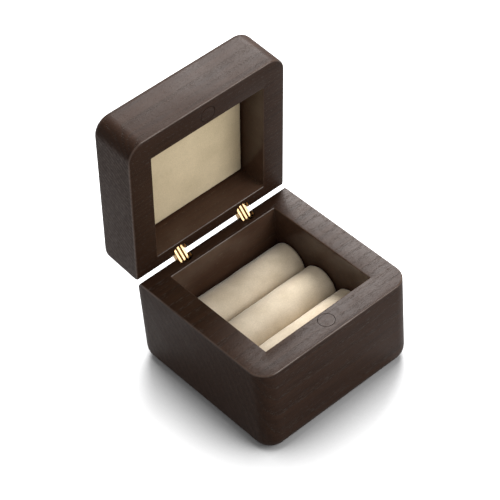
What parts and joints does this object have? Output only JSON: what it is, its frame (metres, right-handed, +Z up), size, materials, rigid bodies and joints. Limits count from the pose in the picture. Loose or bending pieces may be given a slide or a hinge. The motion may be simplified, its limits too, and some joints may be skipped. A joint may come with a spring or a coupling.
{
  "type": "ring box",
  "caption": "Small milled wooden ring box with a hinged magnetic lid, suede rolls in the base to grip rings and a cloth-covered lid panel, standing open.",
  "frame": {"origin": "centre of the base's footprint on its underside", "axes": "+X to the box's right seen from the front, +Y towards the hinges at the back, +Z up"},
  "size_m": [0.055, 0.068, 0.0849],
  "materials": {
    "dark_wood": "satin espresso stain with fine open pores",
    "brass": "polished",
    "steel": "plain bright",
    "suede": "soft cream microsuede with a fine nap",
    "foam": "closed soft foam",
    "card": "plain grey-brown board",
    "panel_cloth": "smooth beige suede cloth"
  },
  "bodies": {
    "base": {"base_barrel_left": "brass", "base_barrel_right": "brass", "base_body": "dark_wood", "base_magnet": "steel", "base_magnet_plug": "dark_wood", "base_pin_left": "steel", "base_pin_right": "steel", "insert_board": "card", "roll_core_front": "foam", "roll_core_middle": "foam", "roll_core_rear": "foam", "roll_cover_front": "suede", "roll_cover_middle": "suede", "roll_cover_rear": "suede"},
    "hinge_links": {"link_left_inner": "brass", "link_left_middle": "brass", "link_left_outer": "brass", "link_right_inner": "brass", "link_right_middle": "brass", "link_right_outer": "brass"},
    "lid": {"lid_barrel_left": "brass", "lid_barrel_right": "brass", "lid_body": "dark_wood", "lid_magnet": "steel", "lid_magnet_plug": "dark_wood", "lid_panel_board": "card", "lid_panel_cover": "panel_cloth", "lid_pin_left": "steel", "lid_pin_right": "steel"}
  },
  "joints": [
    {"name": "lid_turn", "type": "hinge", "parent": "hinge_links", "child": "lid", "pos_m": [0, 0.0262, 0.0326], "axis": [1, 0, 0], "range_deg": [0, 42.5]},
    {"name": "link_turn", "type": "hinge", "parent": "base", "child": "hinge_links", "pos_m": [0, 0.0235, 0.02965], "axis": [1, 0, 0], "range_deg": [0, 42.5]}
  ],
  "couplings": [
    {"joint": "lid_turn", "follows": "link_turn", "ratio": 1}
  ]
}
